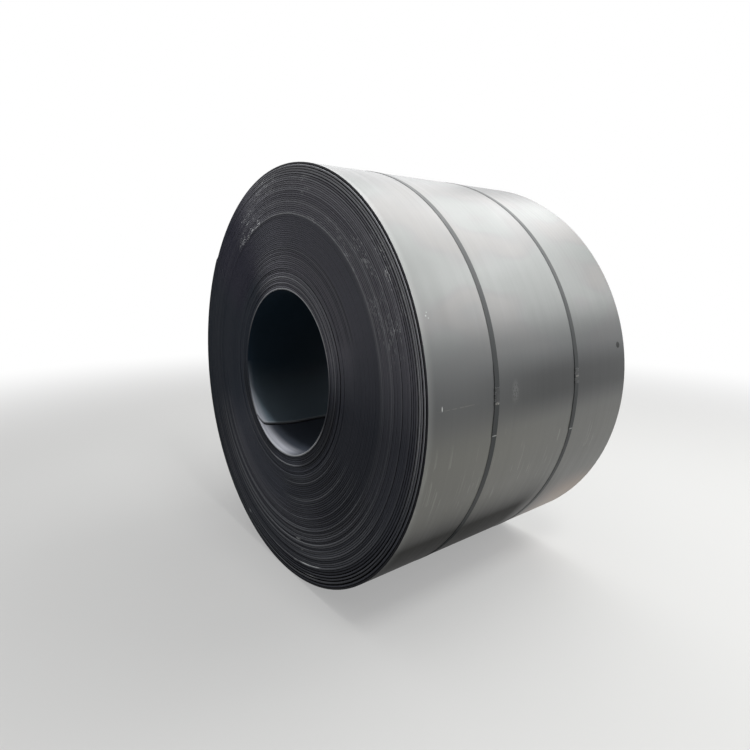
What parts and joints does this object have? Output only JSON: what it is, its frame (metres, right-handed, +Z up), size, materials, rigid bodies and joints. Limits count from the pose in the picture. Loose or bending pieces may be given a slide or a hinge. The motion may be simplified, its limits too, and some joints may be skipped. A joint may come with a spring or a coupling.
{
  "type": "steel coil",
  "caption": "Coil of hot rolled steel strip lying on its side, tight laps round an open bore, held by steel straps with crimped seals.",
  "frame": {"origin": "on the floor under the coil's axis, halfway along its width", "axes": "+Z up, Y along the coil's axis with the end that shows the strip's head at -Y, +X towards the side with the seals"},
  "size_m": [1.8448, 1.218, 1.8372],
  "materials": {
    "hot_rolled_steel": "satin dark mill scale",
    "strap_steel": "blued satin",
    "seal_steel": "blued, bright sheared edges"
  },
  "bodies": {
    "root": {"coil": "hot_rolled_steel", "strap_front": "strap_steel", "strap_rear": "strap_steel", "seal_front": "seal_steel", "seal_rear": "seal_steel"}
  },
  "joints": []
}
